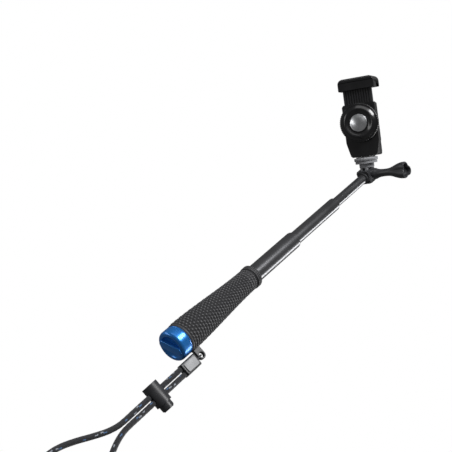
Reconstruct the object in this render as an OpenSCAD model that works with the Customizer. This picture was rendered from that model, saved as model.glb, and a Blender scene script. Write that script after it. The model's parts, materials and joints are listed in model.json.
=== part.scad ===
// Selfie stick: a telescoping twist-lock pole with a knuckle head, a rack-driven phone
// clamp and a wrist lanyard. +Z runs along the pole from the end cap to the knuckle.
// The origin is on the pole's axis, in the middle of the grip.

/* [Handle] */
// Length of the grip, from its rear face to its front rim
grip_length = 112; // [100:1:150]
// Diameter of the grip near its rear end
grip_rear_d = 31.6; // [30:0.1:42]
// Wall of the rubber round the outer tube at the front rim
grip_front_wall = 2.3; // [2:0.1:4]
// Length of the textured front rim
front_rim_length = 6; // [4:0.5:10]
// Wall of the stiff core under the rubber
core_wall = 1.1; // [0.9:0.1:1.5]

/* [End cap] */
// Diameter of the turn cap
cap_d = 30; // [26:0.1:36]
// Length of the cap behind the grip, without its bar
cap_length = 11; // [8:0.5:16]
// Width of the raised turn-bar
bar_w = 6.5; // [4:0.1:8]
// Height of the raised turn-bar
bar_h = 2.5; // [1.5:0.1:4]
// Direction of the turn-bar round the cap, as stored
bar_azimuth = 24; // [0:1:179]
// Diameter of the spigot that turns in the threaded insert
spigot_d = 14; // [10:0.1:16]

/* [Pole] */
// Outer diameter of the inner, thinnest tube
inner_tube_d = 10.6; // [9:0.1:14]
// Wall of each tube
tube_wall = 0.8; // [0.6:0.1:1.2]
// Wall of the bush in each tube's mouth
bush_wall = 1; // [0.8:0.1:1.6]
// Length of each bush
bush_length = 9; // [6:0.5:14]
// Length of outer tube that shows in front of the grip
outer_show = 72; // [60:1:100]
// Length of middle tube that shows as stored
mid_show = 82; // [78:1:100]
// Length of inner tube that shows as stored
inner_show = 64; // [62:1:90]
// Length of the middle tube
mid_length = 160; // [140:1:166]
// Length of the inner tube
inner_length = 134; // [120:1:138]
// Length of each expanding lock collet
collet_length = 12; // [9:0.5:13]

/* [Knuckle] */
// Radius of the rounded knuckle prongs
prong_r = 7.5; // [6.5:0.1:9]
// Thickness of each prong
prong_t = 3; // [2.5:0.1:3.6]
// Clearance on each side of a prong
prong_gap = 0.1; // [0.05:0.01:0.3]
// Diameter of the knuckle bolt
bolt_d = 5; // [4:0.1:6]
// Length of the thumb knob
thumb_length = 42; // [30:1:50]
// Diameter over the lobes of the thumb knob
thumb_d = 20; // [17:0.5:26]
// Tilt of the clamp away from the pole's line, as stored
tilt = 70.8; // [60:0.1:80]
// Turn of the clamp about its own stud, as stored
swivel = 20; // [10:0.1:40]

/* [Phone clamp] */
// Height from the knuckle's axis to the clamp's lower face
clamp_base = 21; // [20.5:0.1:26]
// Diameter of the tripod stud
stud_d = 6.35; // [6:0.01:7]
// Diameter of the knurled lock ring
ring_d = 27; // [24:0.5:34]
// Width of the clamp body over its straight sides
body_w = 38; // [37.6:0.2:48]
// Width of the clamp body at its lower face
foot_w = 31; // [30:0.5:36]
// Height of the clamp body
body_h = 61; // [60:1:75]
// Thickness of the clamp body
body_t = 12; // [11.4:0.1:16]
// Width of the ribbed sliding arm
arm_w = 33; // [32:0.1:33.4]
// Thickness of the sliding arm
arm_t = 5; // [4:0.1:5.4]
// Width of the upper jaw
jaw_w = 42; // [38:0.5:54]
// Room between the two jaw pads, as stored
phone_gap = 70.5; // [66:0.1:76]
// Depth of each jaw in front of the phone pad
jaw_reach = 12.5; // [10:0.1:18]
// Diameter of the clamp knob
knob_d = 45; // [40:0.5:56]
// Thickness of the clamp knob
knob_t = 9; // [8:0.1:14]
// Diameter of the domed button in the knob
button_d = 20; // [16:0.1:22]
// Number of teeth on the pinion
pinion_teeth = 12; // [11:1:13]

/* [Lanyard] */
// Diameter of the round cord
cord_d = 5; // [4:0.1:5.5]
// Distance of the hanging cord from the pole's axis
lanyard_r = 22.5; // [22.3:0.1:28]
// Direction of the eyelet round the handle
lanyard_azimuth = 60; // [0:1:359]
// Diameter of the cord lock's barrel
barrel_d = 15; // [12.5:0.1:20]

/* [Hidden] */
$fn = 64;

// Clearances: round running fits (radial), faces that pass each other, and a seated gap
running = 0.05;
pass = 0.3;
seat = 0.2;
through = 1;

// Tubes, each sized to carry the next one in its bush
function next_tube(d) = d + 2 * (running + bush_wall + tube_wall);
mid_tube_d = next_tube(inner_tube_d);
outer_tube_d = next_tube(mid_tube_d);
inner_bore = inner_tube_d - 2 * tube_wall;
mid_bore = mid_tube_d - 2 * tube_wall;
outer_bore = outer_tube_d - 2 * tube_wall;
lip = 1;

// Heights along the pole
rear_z = -grip_length / 2;
front_z = grip_length / 2;
outer_top = front_z + outer_show;
mid_top = outer_top + lip + mid_show;
mid_bottom = mid_top - mid_length;
inner_top = mid_top + lip + inner_show;
inner_bottom = inner_top - inner_length;
core_r = outer_tube_d / 2 + core_wall;
front_r = outer_tube_d / 2 + grip_front_wall;
rear_r = grip_rear_d / 2;
insert_l = 12;
insert_r = spigot_d / 2 + 3.8;
socket_r = insert_r + 2.4;
outer_bottom = rear_z + insert_l + 2;

// Lock collets and their eccentric cams
mid_spindle = 5;
inner_spindle = 4;
lobe_extra = 1.2;
lobe_offset = 0.7;
plug_l = 8;
cam_head_t = 1.6;

// Knuckle
head_collar = 2.5;
head_base = 5;
knuckle_z = inner_top + head_base + prong_r + 0.5;
prong_pitch = prong_t + prong_gap;
stack_w = 4 * prong_pitch + prong_t;
nut_af = 8;
nut_t = 2.4;
boss_r = nut_af / 2 / cos(30) + 0.9;
adapter_root = prong_r + 0.8;
bolt_end = 7;
washer_t = 1;
washer_d = bolt_d + 6;
thumb_x = stack_w / 2 + 2 * seat + washer_t;
thumb_bore = 9;

// Adapter and lock ring, stacked under the clamp
platform_z = clamp_base - 8;
platform_t = 2.6;
ring_z = platform_z + platform_t + seat;
ring_t = 4;
ring_face_t = 1;
stud_top = clamp_base + 8;

// Clamp body, arm and rack
taper_h = 17;
body_top = clamp_base + body_h;
half_t = body_t / 2;
pocket_half = arm_t / 2 + seat;
knob_z = clamp_base + 39;
insert_d = stud_d + 2.4;
leg_w = arm_w - 4;
leg_bottom = clamp_base + 21;
leg_top = clamp_base + 39;
stroke_in = 14.5;
tooth_module = 1;
pitch_r = pinion_teeth * tooth_module / 2;
tooth_up = 0.6;
tooth_down = 1;
screw_x = 3.4;
knob_screw_l = 6.5;
rack_back = pitch_r + 3.5;
column_half = pitch_r - 1;
column_top = knob_z - pitch_r - 2.1;
slot_left = -(pitch_r + tooth_up + 0.6);
slot_top = knob_z + stroke_in + pitch_r + 1.4;
shaft_d = 8;
journal_d = 5;

// Jaws
pad_t = 1.5;
rest_y = half_t + pad_t;
lower_seat = clamp_base + 12.5;
upper_seat = lower_seat + phone_gap;
jaw_floor_t = 6.5;
jaw_top = upper_seat + pad_t + jaw_floor_t;
jaw_bottom = upper_seat - 6;
lip_t = 3;
lip_inner = rest_y + jaw_reach;
lip_outer = lip_inner + lip_t;
lip_drop = 5;
tongue_w = 26;
tongue_h = 5;
jaw_corner = 6;

// Knob and button, along the clamp's back
knob_back = -half_t - 0.6;
knob_front = knob_back - knob_t;
rim_w = 2.2;
floor_y = knob_back - 3.4;
button_top = knob_front + 0.6;
button_travel = 1.5;
button_base = floor_y - button_travel - seat;

// Lanyard, in a plane that stands out from the handle
eyelet_z = rear_z + 6;
eyelet_r = 2.5;
eyelet_half = 4;
loop_d = 1.8;
loop_half = 3.1;
crimp_top = eyelet_z - 7;
crimp_h = 18;
crimp_w = 12;
crimp_t = 8;
cord_top = crimp_top - crimp_h;
lock_z = cord_top - 34;
barrel_in = -11;
barrel_out = 9;
cavity_in = barrel_in + 1.6;
slot_half = cord_d + 0.7;
plunger_d = barrel_d - 3.4;
plunger_travel = 2;

// The cord's route down one side: distance from the loop's middle, and height below the crimp
cord_half = [
  [2.8, 0], [2.8, -12], [2.8, -24], [2.8, -36], [2.8, -48], [2.8, -60], [2.8, -72],
  [3.4, -80], [6, -90], [11, -102], [16.5, -114], [21, -126], [23, -137], [22, -148],
  [17, -157], [9, -163]
];
cord_bottom = [0, -165];
cord_sides = 8;

// ---- Shared shapes ----

// A straight tube or rod along +Z; a bore of 0 makes it solid
module tube(d, bore, z0, z1) {
  translate([0, 0, z0]) difference() {
    cylinder(d = d, h = z1 - z0);
    if (bore > 0) translate([0, 0, -through]) cylinder(d = bore, h = z1 - z0 + 2 * through);
  }
}

// A rod along +Y between two places
module rod_y(d, y0, y1) {
  translate([0, y0, 0]) rotate([-90, 0, 0]) cylinder(d = d, h = y1 - y0);
}

// A rod along +X between two places
module rod_x(d, x0, x1) {
  translate([x0, 0, 0]) rotate([0, 90, 0]) cylinder(d = d, h = x1 - x0);
}

// A block between two corners
module block(low, high) {
  translate(low) cube(high - low);
}

// A flat outline, drawn in X and Z, given thickness along +Y from y0 to y1
module plate_y(y0, y1) {
  translate([0, y1, 0]) rotate([90, 0, 0]) linear_extrude(height = y1 - y0) children();
}

// A flat outline, drawn in Y and Z, given thickness along X and centred at x
module plate_x(x, t) {
  translate([x - t / 2, 0, 0]) rotate([90, 0, 90]) linear_extrude(height = t) children();
}

module rounded_rect(w, h, r) {
  square([w - 2 * r, h], center = true);
  square([w, h - 2 * r], center = true);
  for (x = [-1, 1], y = [-1, 1]) translate([x * (w / 2 - r), y * (h / 2 - r)]) circle(r = r);
}

// A ring of round wire about Z
module wire_ring(r, wire, z) {
  translate([0, 0, z]) rotate_extrude() translate([r, 0]) circle(d = wire, $fn = 24);
}

// Frames of the leaning pieces
module adapter_place() {
  translate([0, 0, knuckle_z]) rotate([tilt, 0, 0]) children();
}

module clamp_place() {
  adapter_place() rotate([0, 0, swivel]) children();
}

module knob_place() {
  clamp_place() translate([0, 0, knob_z]) children();
}

module lanyard_place() {
  rotate([0, 0, lanyard_azimuth]) children();
}

module lock_place() {
  lanyard_place() translate([lanyard_r, 0, lock_z]) children();
}

// ---- Handle ----

// Radius of the grip where a share t of its length is behind
function grip_r(t) = rear_r + (front_r - rear_r) * t * t * (3 - 2 * t);

module core_shape() {
  tube(2 * core_r, 0, rear_z, front_z - front_rim_length);
  tube(2 * socket_r, 0, rear_z, outer_bottom);
}

module lug_slot() {
  lanyard_place() block([0, -2, eyelet_z - eyelet_half], [rear_r + 6, 2, eyelet_z + eyelet_half]);
}

module grip_core() {
  color([0.12, 0.12, 0.13]) difference() {
    core_shape();
    tube(outer_tube_d, 0, rear_z - through, front_z);
    tube(2 * insert_r, 0, rear_z - through, rear_z + insert_l);
  }
}

module grip_sleeve() {
  length = grip_length - front_rim_length;
  steps = 10;
  outline = [for (k = [0 : steps]) [grip_r(k / steps), rear_z + length * k / steps]];
  color([0.16, 0.16, 0.17]) difference() {
    rotate_extrude() polygon(concat([[0, rear_z]], outline, [[0, rear_z + length]]));
    core_shape();
    tube(outer_tube_d, 0, rear_z - through, front_z);
    lug_slot();
  }
}

module grip_front_rim() {
  z0 = front_z - front_rim_length;
  color([0.14, 0.14, 0.15]) difference() {
    union() {
      tube(2 * front_r, 0, z0, front_z);
      for (k = [0 : 2]) wire_ring(front_r - 0.2, 1.2, z0 + 1.2 + k * (front_rim_length - 2.4) / 2);
    }
    tube(outer_tube_d, 0, z0 - through, front_z + through);
  }
}

module outer_tube() {
  color([0.2, 0.2, 0.22]) tube(outer_tube_d, outer_bore, outer_bottom, outer_top);
}

// A flanged bush in the mouth of a tube
module bush(tube_d, bore_d, carried_d, top) {
  difference() {
    union() {
      tube(bore_d, 0, top - bush_length, top);
      tube(tube_d - 0.4, 0, top, top + lip);
    }
    tube(carried_d + 2 * running, 0, top - bush_length - through, top + lip + through);
  }
}

module outer_bush() {
  color([0.1, 0.1, 0.1]) bush(outer_tube_d, outer_bore, mid_tube_d, outer_top);
}

module cap_insert() {
  color([0.75, 0.65, 0.4]) tube(2 * insert_r, spigot_d + 2 * running, rear_z, rear_z + insert_l);
}

module lanyard_eyelet() {
  color([0.14, 0.14, 0.15]) lanyard_place() difference() {
    plate_y(-2, 2) {
      translate([0, eyelet_z - eyelet_half]) square([lanyard_r, 2 * eyelet_half]);
      translate([lanyard_r, eyelet_z]) circle(r = eyelet_half);
    }
    translate([lanyard_r, 0, eyelet_z]) rod_y(2 * eyelet_r, -3, 3);
    tube(2 * socket_r, 0, rear_z - through, outer_bottom + through);
  }
}

// ---- End cap ----

module end_cap() {
  inner_z = rear_z - pass;
  outer_z = inner_z - cap_length;
  r = cap_d / 2;
  chamfer = 1.6;
  profile = [
    [0, outer_z - 0.4], [r - 4, outer_z], [r - chamfer, outer_z + 0.6], [r, outer_z + 0.6 + chamfer],
    [r, inner_z - 0.8], [r - 0.8, inner_z], [0, inner_z]
  ];
  color([0.05, 0.25, 0.75]) difference() {
    union() {
      rotate_extrude() polygon(profile);
      tube(spigot_d, 0, inner_z - 1, rear_z + insert_l - 2);
      translate([0, 0, outer_z - bar_h]) rotate(bar_azimuth) linear_extrude(height = bar_h + 1)
        rounded_rect(cap_d - 5, bar_w, bar_w / 2 - 0.01);
    }
    tube(2 * insert_r + 3, 2 * insert_r + 0.6, inner_z - 1, inner_z + through);
  }
}

module cap_gasket() {
  color([0.05, 0.05, 0.05]) tube(2 * insert_r + 3, 2 * insert_r + 0.6, rear_z - pass - 1, rear_z - 0.1);
}

// ---- Twist locks ----

// A slit collet that the cam's lobe spreads against the outer of two tubes
module lock_collet(outer_d, spindle_d, tube_end) {
  top = tube_end - pass;
  lobe_reach = spindle_d / 2 + lobe_extra + lobe_offset;
  difference() {
    tube(outer_d - 2 * running, spindle_d + 2 * running, top - collet_length, top);
    tube(2 * (lobe_reach + pass), 0, top - collet_length + 3, top - 3);
    block([0, -0.6, top - collet_length - through], [outer_d, 0.6, top + through]);
  }
}

// A plug in the tube's lower end, with a spindle, an eccentric lobe and a retaining head
module lock_cam(plug_d, spindle_d, tube_end) {
  low = tube_end - pass - collet_length;
  tube(plug_d - 2 * running, 0, tube_end, tube_end + plug_l);
  tube(spindle_d, 0, low - seat - cam_head_t, tube_end);
  tube(spindle_d + 4, 0, low - seat - cam_head_t, low - seat);
  translate([lobe_offset, 0, 0]) tube(spindle_d + 2 * lobe_extra, 0, low + 3.3, tube_end - pass - 3.3);
}

module mid_collet() {
  color([0.8, 0.8, 0.78]) lock_collet(outer_bore, mid_spindle, mid_bottom);
}

module mid_cam() {
  color([0.15, 0.15, 0.16]) lock_cam(mid_bore, mid_spindle, mid_bottom);
}

module mid_tube() {
  color([0.22, 0.22, 0.24]) tube(mid_tube_d, mid_bore, mid_bottom, mid_top);
}

module mid_bush() {
  color([0.1, 0.1, 0.1]) bush(mid_tube_d, mid_bore, inner_tube_d, mid_top);
}

module inner_collet() {
  color([0.8, 0.8, 0.78]) lock_collet(mid_bore, inner_spindle, inner_bottom);
}

module inner_cam() {
  color([0.15, 0.15, 0.16]) lock_cam(inner_bore, inner_spindle, inner_bottom);
}

module pin_hole() {
  translate([0, 0, inner_top - 6]) rod_y(2, -inner_tube_d, inner_tube_d);
}

module inner_tube() {
  color([0.24, 0.24, 0.26]) difference() {
    tube(inner_tube_d, inner_bore, inner_bottom, inner_top);
    pin_hole();
  }
}

module head_pin() {
  reach = inner_tube_d / 2 - 0.3;
  color("silver") translate([0, 0, inner_top - 6]) rod_y(2, -reach, reach);
}

// ---- Knuckle ----

// A prong in the plane of Y and Z: round about the bolt, square down to its root
module prong(x, root) {
  plate_x(x, prong_t) {
    circle(r = prong_r);
    translate([-prong_r, root > 0 ? 0 : root]) square([2 * prong_r, abs(root)]);
  }
}

module pole_head() {
  neck_d = inner_tube_d + 2.6;
  hook_x = stack_w / 2 - 0.4;
  hook_r = 4.4;
  color([0.15, 0.15, 0.16]) difference() {
    union() {
      tube(inner_bore - 2 * running, 0, inner_top - 12, inner_top);
      tube(neck_d, 0, inner_top, inner_top + head_collar + 1);
      intersection() {
        block([-stack_w / 2, -prong_r, inner_top + head_collar],
              [stack_w / 2, prong_r, inner_top + head_base]);
        cylinder(r = prong_r + 2.4, h = inner_top + head_base);
      }
      translate([0, 0, knuckle_z]) {
        for (x = [-2, 0, 2]) prong(x * prong_pitch, inner_top + head_base - knuckle_z - 1);
        rod_x(2 * boss_r, -stack_w / 2 - nut_t, -stack_w / 2 + 1);
      }
      translate([hook_x, 0, inner_top + 0.6]) plate_y(-1.4, 1.4) difference() {
        circle(r = hook_r);
        translate([-0.8, -0.6]) circle(r = hook_r - 1.7);
        translate([-3 * hook_r, -hook_r]) square([3 * hook_r - 0.6, 2 * hook_r - 1.5]);
      }
    }
    translate([0, 0, knuckle_z]) {
      rod_x(bolt_d + 2 * running, -stack_w, stack_w);
      rotate([0, -90, 0]) translate([0, 0, stack_w / 2])
        cylinder(d = nut_af / cos(30), h = nut_t + through, $fn = 6);
    }
    pin_hole();
  }
}

module captive_nut() {
  color("silver") translate([0, 0, knuckle_z]) difference() {
    rotate([0, -90, 0]) translate([0, 0, stack_w / 2]) cylinder(d = nut_af / cos(30), h = nut_t, $fn = 6);
    rod_x(bolt_d + 2 * running, -stack_w, stack_w);
  }
}

module thumb_bolt() {
  color("silver") translate([0, 0, knuckle_z]) rod_x(bolt_d, -stack_w / 2 - nut_t, thumb_x + bolt_end);
}

module thumb_washer() {
  x0 = stack_w / 2 + seat;
  color("silver") translate([0, 0, knuckle_z]) difference() {
    rod_x(washer_d, x0, x0 + washer_t);
    rod_x(bolt_d, x0 - through, x0 + washer_t + through);
  }
}

// The knob's waisted body, then three lobes with a hollow end
module thumb_knob() {
  lobe_r = thumb_d * 0.28;
  lobe_start = thumb_length * 0.6;
  core = thumb_d / 2 - 3.2;
  waist = [
    [0, 0], [6.4, 0], [6.4, 2.4], [4.4, 9], [4.3, 14], [core - 0.5, lobe_start + 0.5],
    [core - 0.5, lobe_start + 2], [0, lobe_start + 2]
  ];
  color([0.2, 0.2, 0.21]) translate([thumb_x, 0, knuckle_z]) rotate([0, 90, 0]) difference() {
    union() {
      rotate_extrude() polygon(waist);
      translate([0, 0, lobe_start]) linear_extrude(height = thumb_length - lobe_start) {
        circle(r = core);
        for (a = [0 : 120 : 240]) rotate(a) translate([thumb_d / 2 - lobe_r, 0]) circle(r = lobe_r);
      }
    }
    tube(bolt_d, 0, -through, bolt_end);
    tube(thumb_bore, 0, thumb_length - 5, thumb_length + through);
  }
}

// ---- Adapter and lock ring ----

module adapter_fork() {
  color([0.6, 0.6, 0.62]) adapter_place() difference() {
    union() {
      for (x = [-1, 1]) prong(x * prong_pitch, adapter_root + 1);
      tube(2 * prong_r + 2, 0, adapter_root, platform_z);
      tube(ring_d - 2, 0, platform_z, platform_z + platform_t);
    }
    rod_x(bolt_d + 2 * running, -stack_w, stack_w);
    tube(stud_d, 0, adapter_root + 1.5, platform_z + platform_t + through);
  }
}

module tripod_stud() {
  color("silver") adapter_place() tube(stud_d, 0, adapter_root + 1.5, stud_top);
}

module lock_ring() {
  teeth = 36;
  color([0.7, 0.7, 0.72]) adapter_place() difference() {
    tube(ring_d, stud_d + 2 * running, ring_z, ring_z + ring_t);
    for (k = [0 : teeth - 1]) rotate([0, 0, k * 360 / teeth])
      tube_notch(ring_d / 2, ring_z - through, ring_z + ring_t + through);
  }
}

// A V-shaped knurl groove at a radius
module tube_notch(r, z0, z1) {
  translate([r + 0.35, 0, z0]) rotate([0, 0, 45]) translate([-0.6, -0.6, 0]) cube([1.2, 1.2, z1 - z0]);
}

module ring_face() {
  color([0.1, 0.1, 0.1]) adapter_place()
    tube(ring_d - 5, stud_d + 2, ring_z + ring_t, ring_z + ring_t + ring_face_t);
}

// ---- Clamp body ----

// The body's outline in X and Z: straight above, narrowing to the foot
module body_outline() {
  w = body_w / 2;
  f = foot_w / 2;
  cut = 2;
  polygon([
    [-f + cut, clamp_base], [f - cut, clamp_base], [f, clamp_base + cut], [w, clamp_base + taper_h],
    [w, body_top - cut], [w - cut, body_top], [-w + cut, body_top], [-w, body_top - cut],
    [-w, clamp_base + taper_h], [-f, clamp_base + cut]
  ]);
}

// The room that the sliding arm travels in, between the two shells
module arm_pocket() {
  low = leg_bottom - stroke_in - 2;
  mid = leg_top - stroke_in - 2;
  difference() {
    union() {
      block([-arm_w / 2 - seat, -pocket_half, mid], [arm_w / 2 + seat, pocket_half, body_top + through]);
      block([-leg_w / 2 - seat, -pocket_half, low], [leg_w / 2 + seat, pocket_half, mid + through]);
    }
    block([-column_half, -body_t, low - through], [column_half, body_t, column_top]);
  }
}

module screw_places() {
  for (p = [[0, clamp_base + 15], [-screw_x, column_top - 5], [screw_x, column_top - 5]])
    translate([p[0], 0, p[1]]) children();
}

module screw_shape() {
  rod_y(2.2, -half_t + 2, half_t - 1.4);
  rod_y(4.4, half_t - 1.5, half_t - 0.2);
}

module body_cuts() {
  arm_pocket();
  tube(insert_d, 0, clamp_base - through, clamp_base + 10);
  screw_places() {
    screw_shape();
    rod_y(4.4, half_t - 1.5, half_t + through);
  }
}

module clamp_back() {
  color([0.04, 0.04, 0.045]) clamp_place() difference() {
    plate_y(-half_t, 0) body_outline();
    body_cuts();
    translate([0, 0, knob_z]) rod_y(shaft_d + 2 * running, -body_t, 0);
  }
}

module clamp_front() {
  color([0.05, 0.05, 0.055]) clamp_place() difference() {
    plate_y(0, half_t) body_outline();
    body_cuts();
    translate([0, 0, knob_z]) rod_y(journal_d + 2 * running, 0, half_t - 1);
  }
}

module thread_insert() {
  color([0.75, 0.65, 0.4]) clamp_place()
    tube(insert_d, stud_d + 2 * running, clamp_base, clamp_base + 10);
}

module clamp_screws() {
  color("silver") clamp_place() screw_places() screw_shape();
}

module phone_pad() {
  color([0.1, 0.1, 0.1]) clamp_place() plate_y(half_t, rest_y)
    translate([0, (lower_seat + body_top) / 2]) rounded_rect(26, body_top - lower_seat - 4, 3);
}

module lower_jaw() {
  r = 5;
  reach = lip_outer;
  color([0.05, 0.05, 0.055]) clamp_place() plate_x(0, foot_w - 1) {
    translate([half_t, clamp_base]) square([reach - r - half_t, lower_seat - pad_t - clamp_base]);
    translate([reach - r, clamp_base + r]) circle(r = r);
    translate([reach - r, clamp_base + r]) square([r, lower_seat - pad_t - clamp_base - r]);
    translate([lip_inner, clamp_base + r]) square([lip_t, lower_seat + lip_drop - clamp_base - r - lip_t / 2]);
    translate([lip_inner + lip_t / 2, lower_seat + lip_drop - lip_t / 2]) circle(r = lip_t / 2);
  }
}

module lower_jaw_pad() {
  color([0.75, 0.75, 0.76]) clamp_place() difference() {
    block([-foot_w / 2 + 3, rest_y, lower_seat - pad_t], [foot_w / 2 - 3, lip_inner, lower_seat + 3.5]);
    block([-foot_w / 2, rest_y - through, lower_seat], [foot_w / 2, lip_inner - 1, lower_seat + 5]);
  }
}

// ---- Sliding jaw ----

module jaw_arm() {
  grooves = 10;
  groove_w = 1.5;
  groove_depth = 1.2;
  tongue_top = jaw_bottom + tongue_h;
  color([0.06, 0.06, 0.065]) clamp_place() difference() {
    union() {
      block([-arm_w / 2, -arm_t / 2, leg_top], [arm_w / 2, arm_t / 2, jaw_bottom]);
      block([-leg_w / 2, -arm_t / 2, leg_bottom], [leg_w / 2, arm_t / 2, leg_top]);
      block([-tongue_w / 2, -arm_t / 2 + 0.5, jaw_bottom], [tongue_w / 2, arm_t / 2 - 0.5, tongue_top]);
    }
    block([slot_left, -arm_t, leg_bottom - through], [rack_back, arm_t, slot_top]);
    for (k = [0 : grooves - 1])
      translate([(k - (grooves - 1) / 2) * (arm_w - 4) / grooves, 0, 0])
        block([-groove_w / 2, -arm_t / 2 - through, leg_top + 8],
              [groove_w / 2, -arm_t / 2 + groove_depth, jaw_bottom]);
  }
}

// The jaw's side view, in Y and Z
module jaw_side() {
  r = 3;
  translate([-half_t, jaw_bottom]) square([rest_y + half_t, jaw_top - jaw_bottom - r]);
  translate([-half_t, upper_seat + pad_t]) square([lip_outer + half_t, jaw_floor_t - r]);
  translate([-half_t + r, jaw_top - 2 * r]) square([lip_outer + half_t - 2 * r, 2 * r]);
  for (y = [-half_t + r, lip_outer - r]) translate([y, jaw_top - r]) circle(r = r);
  translate([lip_inner, upper_seat - lip_drop + lip_t / 2]) square([lip_t, lip_drop + pad_t]);
  translate([lip_inner + lip_t / 2, upper_seat - lip_drop + lip_t / 2]) circle(r = lip_t / 2);
}

module upper_jaw() {
  color([0.04, 0.04, 0.045]) clamp_place() difference() {
    intersection() {
      plate_x(0, jaw_w) jaw_side();
      plate_y(-half_t - through, lip_outer + through) translate([0, jaw_top - jaw_corner])
        union() {
          for (x = [-1, 1]) translate([x * (jaw_w / 2 - jaw_corner), 0]) circle(r = jaw_corner);
          square([jaw_w - 2 * jaw_corner, 2 * jaw_corner], center = true);
          translate([-jaw_w / 2, -30]) square([jaw_w, 30]);
        }
    }
    block([-tongue_w / 2, -arm_t / 2 + 0.5, jaw_bottom - through],
          [tongue_w / 2, arm_t / 2 - 0.5, jaw_bottom + tongue_h]);
  }
}

module upper_jaw_pad() {
  color([0.75, 0.75, 0.76]) clamp_place() difference() {
    block([-jaw_w / 2 + 3, rest_y, upper_seat - 3.5], [jaw_w / 2 - 3, lip_inner, upper_seat + pad_t]);
    block([-jaw_w / 2, rest_y - through, upper_seat - 5], [jaw_w / 2, lip_inner - 1, upper_seat]);
  }
}

// A rack whose gaps take the pinion's teeth at the knob's height
module jaw_rack() {
  pitch = PI * tooth_module;
  root = pitch_r + 0.9;
  tip = pitch_r - 0.7;
  count = floor((slot_top - leg_bottom) / pitch) - 1;
  first = knob_z + (ceil((leg_bottom - knob_z) / pitch) + 0.5) * pitch;
  color([0.7, 0.6, 0.35]) clamp_place() plate_y(-arm_t / 2 + seat, arm_t / 2 - seat) {
    translate([root, leg_bottom]) square([rack_back - root, slot_top - leg_bottom]);
    for (k = [0 : count - 1]) translate([0, first + k * pitch])
      polygon([[tip, -0.35], [root + 0.1, -0.9], [root + 0.1, 0.9], [tip, 0.35]]);
  }
}

// ---- Knob and button ----

module pinion() {
  half = arm_t / 2 - seat;
  root_r = pitch_r - tooth_down;
  tip_r = pitch_r + tooth_up;
  color([0.7, 0.6, 0.35]) knob_place() {
    plate_y(-half, half) {
      circle(r = root_r);
      for (k = [0 : pinion_teeth - 1]) rotate(k * 360 / pinion_teeth)
        polygon([[root_r - 0.4, -0.95], [tip_r, -0.35], [tip_r, 0.35], [root_r - 0.4, 0.95]]);
    }
    rod_y(journal_d, half, half_t - 1.3);
    difference() {
      rod_y(shaft_d, floor_y, -half);
      rod_y(3, floor_y - through, floor_y + knob_screw_l);
    }
  }
}

module knob_dish() {
  inner_r = button_d / 2 + running;
  rim_r = knob_d / 2 - rim_w;
  outline = [
    [0, 0], [rim_r - 1.2, 0], [rim_r, 1.2], [rim_r, knob_t - 1.5], [rim_r - 1.5, knob_t],
    [rim_r - 3.5, knob_t - 0.4], [inner_r + 3, knob_t - 3.2], [inner_r + 1, knob_t - 2.6],
    [inner_r, knob_t - 2.8], [inner_r, knob_back - floor_y], [0, knob_back - floor_y]
  ];
  color([0.04, 0.04, 0.045]) knob_place() difference() {
    translate([0, knob_back, 0]) rotate([90, 0, 0]) rotate_extrude($fn = 96) polygon(outline);
    rod_y(shaft_d, -body_t - knob_t, 0);
  }
}

module knob_rim() {
  outer = knob_d / 2;
  inner = outer - rim_w;
  outline = [
    [inner, 1.5], [outer - 1, 1.5], [outer, 2.5], [outer, knob_t - 2.8], [outer - 1, knob_t - 1.8],
    [inner, knob_t - 1.8]
  ];
  color([0.08, 0.08, 0.085]) knob_place() translate([0, knob_back, 0]) rotate([90, 0, 0])
    rotate_extrude($fn = 96) polygon(outline);
}

module knob_screw() {
  color("silver") knob_place() {
    rod_y(3, floor_y, floor_y + knob_screw_l);
    rod_y(shaft_d + 1, floor_y - 1, floor_y);
  }
}

// The domed button slides in the dish; its underside is hollow over the spring and the screw
module release_button() {
  r = button_d / 2;
  outline = [
    [r - 1.2, 0], [r, 0], [r, button_base - button_top - 0.8], [r - 1, button_base - button_top],
    [r * 0.6, button_base - button_top + 1.2], [0, button_base - button_top + 1.7],
    [0, 2.2], [r - 1.2, 2.2]
  ];
  color([0.85, 0.85, 0.86]) knob_place() translate([0, button_base, 0]) rotate([90, 0, 0])
    rotate_extrude($fn = 96) polygon(outline);
}

module button_spring() {
  wire = 0.6;
  color("silver") knob_place() rotate([90, 0, 0]) for (k = [0 : 1])
    wire_ring(7, wire, -floor_y + wire * (k + 0.5));
}

// ---- Lanyard ----

// The thin loop through the eyelet: a half ring over two straight legs
module anchor_loop() {
  arc_z = eyelet_z - eyelet_r + 1.9 - loop_half;
  color([0.2, 0.2, 0.25]) lanyard_place() translate([lanyard_r, 0, 0]) {
    intersection() {
      translate([0, 0, arc_z]) rotate([0, 90, 0]) wire_ring(loop_half, loop_d, 0);
      block([-5, -10, arc_z], [5, 10, arc_z + 10]);
    }
    for (y = [-1, 1]) translate([0, y * loop_half, 0]) tube(loop_d, 0, crimp_top, arc_z);
  }
}

module crimp_block() {
  color([0.12, 0.12, 0.13]) lanyard_place() translate([lanyard_r, 0, cord_top])
    linear_extrude(height = crimp_h) rounded_rect(crimp_w, crimp_t, 1.5);
}

module crimp_plate() {
  color([0.75, 0.75, 0.76]) lanyard_place() translate([lanyard_r, 0, cord_top + crimp_h / 2])
    plate_y(-crimp_t / 2 - 1, -crimp_t / 2) rounded_rect(crimp_w - 3.4, crimp_h - 4, 1.5);
}

// The cord's whole route: down one side, round the loop and up the other
cord_route = concat(
  [for (p = cord_half) [-p[0], p[1]]], [cord_bottom],
  [for (i = [len(cord_half) - 1 : -1 : 0]) cord_half[i]]
);

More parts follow.
